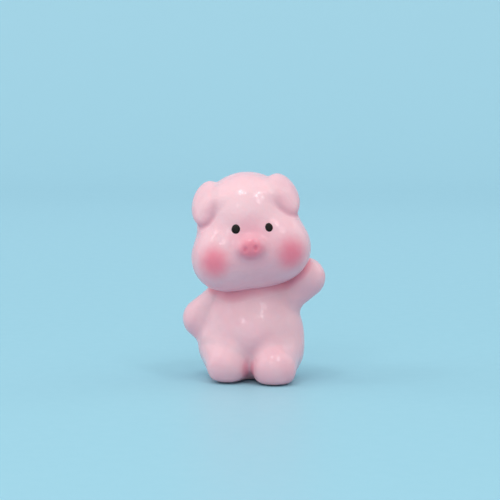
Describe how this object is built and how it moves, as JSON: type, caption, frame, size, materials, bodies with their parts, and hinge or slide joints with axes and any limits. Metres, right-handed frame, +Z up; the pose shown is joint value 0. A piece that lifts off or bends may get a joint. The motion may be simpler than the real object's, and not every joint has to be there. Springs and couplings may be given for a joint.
{
  "type": "piglet figurine",
  "caption": "Small sitting piglet ornament in glossy pink resin with a leaning head, folded ears, a raised arm and a flat base to stand on.",
  "frame": {"origin": "on the flat underside of the torso, between the hips", "axes": "+Z up, -Y the way the piglet faces, +X to its own left"},
  "size_m": [0.0239, 0.02, 0.0345],
  "materials": {
    "resin": "cast resin, pale pink, with a brushed-on gloss coat",
    "snout_paint": "cast resin, painted a darker pink under the gloss coat",
    "eye_bead": "near-black, polished"
  },
  "bodies": {
    "root": {"torso": "resin", "head": "resin", "right_ear": "resin", "left_ear": "resin", "snout": "snout_paint", "right_eye": "eye_bead", "left_eye": "eye_bead", "right_arm": "resin", "left_arm": "resin", "right_leg": "resin", "left_leg": "resin", "tail": "resin"}
  },
  "joints": []
}
